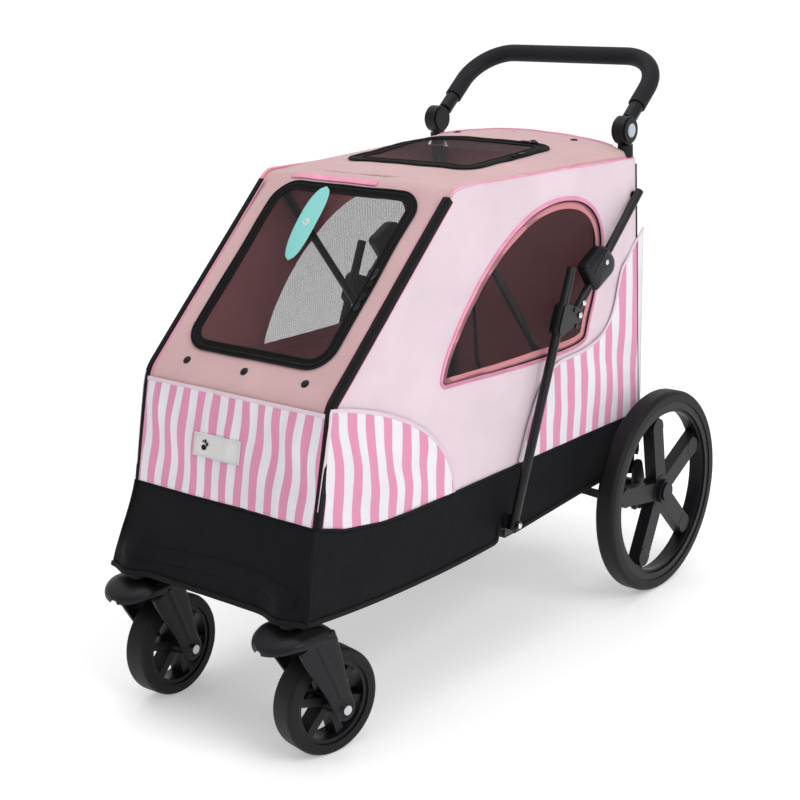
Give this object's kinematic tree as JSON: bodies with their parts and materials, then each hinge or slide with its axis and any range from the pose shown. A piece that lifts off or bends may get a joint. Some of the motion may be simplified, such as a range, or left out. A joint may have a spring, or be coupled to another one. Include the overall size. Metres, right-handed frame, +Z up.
{
  "type": "pet stroller",
  "caption": "Folding dog stroller: fabric cabin with mesh windows on a steel tube frame, two swivel casters, two large rear wheels and a tilting handlebar.",
  "frame": {"origin": "on the floor under the middle of the stroller", "axes": "+Z up, -Y the direction of travel, +X the left of the person who pushes"},
  "size_m": [0.574, 1.158, 0.9904],
  "materials": {
    "black_steel": "gloss black powder coat",
    "bright_steel": "zinc plated",
    "black_plastic": "fine moulded texture",
    "tyre_rubber": "smooth solid foam rubber",
    "grip_foam": "soft closed-cell foam",
    "grey_button": "satin",
    "floor_panel": "hard board under cloth",
    "cushion_cloth": "dusty rose padded cloth",
    "black_oxford": "black oxford weave",
    "lilac_canvas": "pale lilac pink plain weave",
    "salmon_canvas": "salmon pink plain weave",
    "black_mesh": "open insect mesh",
    "striped_canvas": "pink and white stripes",
    "rose_lining": "dusty rose lining",
    "black_binding": "ribbed binding tape and webbing",
    "pink_binding": "hot pink piping",
    "silver_metal": "zip pulls and rivets",
    "paper_tag": "turquoise swing tag",
    "white_label": "woven label patch"
  },
  "bodies": {
    "chassis": {"left_base_rail": "black_steel", "right_base_rail": "black_steel", "cross_tubes": "black_steel", "caster_sockets": "black_plastic", "rear_axle": "bright_steel", "left_axle_bracket": "black_steel", "right_axle_bracket": "black_steel", "brace_mounts": "black_steel", "floor_board": "floor_panel", "floor_cushion": "cushion_cloth", "front_skirt": "black_oxford", "left_skirt": "black_oxford", "right_skirt": "black_oxford", "rear_skirt": "black_oxford", "left_side_panel": "lilac_canvas", "right_side_panel": "lilac_canvas", "front_panel": "salmon_canvas", "rear_panel": "salmon_canvas", "roof_panel": "salmon_canvas", "left_window_mesh": "black_mesh", "right_window_mesh": "black_mesh", "front_pocket": "striped_canvas", "left_front_pocket": "striped_canvas", "right_front_pocket": "striped_canvas", "left_rear_pocket": "striped_canvas", "right_rear_pocket": "striped_canvas"},
    "rear_posts": {"left_post": "black_steel", "right_post": "black_steel", "handle_sockets": "black_plastic"},
    "handlebar": {"handlebar_tube": "black_steel", "handle_grip": "grip_foam", "handle_hubs": "black_plastic"},
    "left_button": {"left_handle_button": "grey_button"},
    "right_button": {"right_handle_button": "grey_button"},
    "canopy_bow": {"left_bow_stay": "black_steel", "right_bow_stay": "black_steel", "roof_bow": "black_steel"},
    "lower_braces": {"left_lower_brace": "black_steel", "right_lower_brace": "black_steel"},
    "upper_braces": {"left_upper_brace": "black_steel", "right_upper_brace": "black_steel"},
    "left_latch": {"left_brace_latch": "black_plastic"},
    "right_latch": {"right_brace_latch": "black_plastic"},
    "left_caster": {"left_caster_fork": "black_plastic", "left_caster_bolt": "bright_steel"},
    "right_caster": {"right_caster_fork": "black_plastic", "right_caster_bolt": "bright_steel"},
    "left_caster_wheel": {"left_caster_rim": "black_plastic", "left_caster_tyre": "tyre_rubber"},
    "right_caster_wheel": {"right_caster_rim": "black_plastic", "right_caster_tyre": "tyre_rubber"},
    "left_rear_wheel": {"left_rear_rim": "black_plastic", "left_rear_tyre": "tyre_rubber"},
    "right_rear_wheel": {"right_rear_rim": "black_plastic", "right_rear_tyre": "tyre_rubber"},
    "brake": {"brake_bar": "black_steel"},
    "window_flap": {"front_window": "black_mesh"},
    "skylight_flap": {"skylight": "black_mesh"},
    "door_flap": {"rear_door": "black_mesh"}
  },
  "joints": [
    {"name": "fold", "type": "hinge", "parent": "chassis", "child": "rear_posts", "pos_m": [0, 0.372, 0.23], "axis": [1, 0, 0], "range_deg": [0, 78.8], "deforming": ["front_skirt", "left_skirt", "right_skirt", "rear_skirt", "left_side_panel", "right_side_panel", "front_panel", "rear_panel", "roof_panel", "left_window_mesh", "right_window_mesh", "front_pocket", "left_front_pocket", "right_front_pocket", "left_rear_pocket", "right_rear_pocket", "front_window", "skylight", "rear_door"]},
    {"name": "handle_tilt", "type": "hinge", "parent": "rear_posts", "child": "handlebar", "pos_m": [0, 0.341, 0.86], "axis": [1, 0, 0], "range_deg": [-30, 65]},
    {"name": "left_button_press", "type": "slide", "parent": "handlebar", "child": "left_button", "axis": [-1, 0, 0], "range_m": [0, 0.0035], "stiffness_N_per_m": 300},
    {"name": "right_button_press", "type": "slide", "parent": "handlebar", "child": "right_button", "axis": [1, 0, 0], "range_m": [0, 0.0035], "stiffness_N_per_m": 300},
    {"name": "brace_swing", "type": "hinge", "parent": "chassis", "child": "lower_braces", "pos_m": [0, -0.039, 0.247], "axis": [1, 0, 0], "range_deg": [0, 111.6]},
    {"name": "brace_elbow", "type": "hinge", "parent": "lower_braces", "child": "upper_braces", "pos_m": [0, 0.144, 0.571], "axis": [1, 0, 0], "range_deg": [-151.1, 0]},
    {"name": "left_latch_slide", "type": "slide", "parent": "upper_braces", "child": "left_latch", "axis": [0, 0.7568, 0.6537], "range_m": [0, 0.022], "stiffness_N_per_m": 400},
    {"name": "right_latch_slide", "type": "slide", "parent": "upper_braces", "child": "right_latch", "axis": [0, 0.7568, 0.6537], "range_m": [0, 0.022], "stiffness_N_per_m": 400},
    {"name": "bow_swing", "type": "hinge", "parent": "chassis", "child": "canopy_bow", "pos_m": [0, 0.306, 0.235], "axis": [1, 0, 0], "range_deg": [0, 48.6]},
    {"name": "left_swivel", "type": "hinge", "parent": "chassis", "child": "left_caster", "pos_m": [0.1635, -0.519, 0.22], "axis": [0, 0, 1], "continuous": true},
    {"name": "right_swivel", "type": "hinge", "parent": "chassis", "child": "right_caster", "pos_m": [-0.1635, -0.519, 0.22], "axis": [0, 0, 1], "continuous": true},
    {"name": "left_caster_roll", "type": "hinge", "parent": "left_caster", "child": "left_caster_wheel", "pos_m": [0.17426, -0.4615, 0.0855], "axis": [0.9829, -0.184, 0], "continuous": true},
    {"name": "right_caster_roll", "type": "hinge", "parent": "right_caster", "child": "right_caster_wheel", "pos_m": [-0.16575, -0.46054, 0.0855], "axis": [0.9993, 0.0384, 0], "continuous": true},
    {"name": "left_wheel_roll", "type": "hinge", "parent": "chassis", "child": "left_rear_wheel", "pos_m": [0.263, 0.383, 0.19], "axis": [1, 0, 0], "continuous": true},
    {"name": "right_wheel_roll", "type": "hinge", "parent": "chassis", "child": "right_rear_wheel", "pos_m": [-0.263, 0.383, 0.19], "axis": [1, 0, 0], "continuous": true},
    {"name": "brake_press", "type": "hinge", "parent": "chassis", "child": "brake", "pos_m": [0, 0.366, 0.16], "axis": [-1, 0, 0], "range_deg": [0, 14]},
    {"name": "window_lift", "type": "hinge", "parent": "chassis", "child": "window_flap", "pos_m": [0, -0.1574, 0.8134], "axis": [-1, 0, 0], "range_deg": [0, 100]},
    {"name": "skylight_lift", "type": "hinge", "parent": "chassis", "child": "skylight_flap", "pos_m": [0, -0.025, 0.835], "axis": [1, 0, 0], "range_deg": [0, 110]},
    {"name": "door_drop", "type": "hinge", "parent": "chassis", "child": "door_flap", "pos_m": [0, 0.3699, 0.345], "axis": [-1, 0, 0], "range_deg": [0, 100]}
  ],
  "couplings": [
    {"joint": "brace_swing", "follows": "fold", "ratio": 1.4145},
    {"joint": "brace_elbow", "follows": "fold", "ratio": -1.9157},
    {"joint": "bow_swing", "follows": "fold", "ratio": 0.6155}
  ]
}
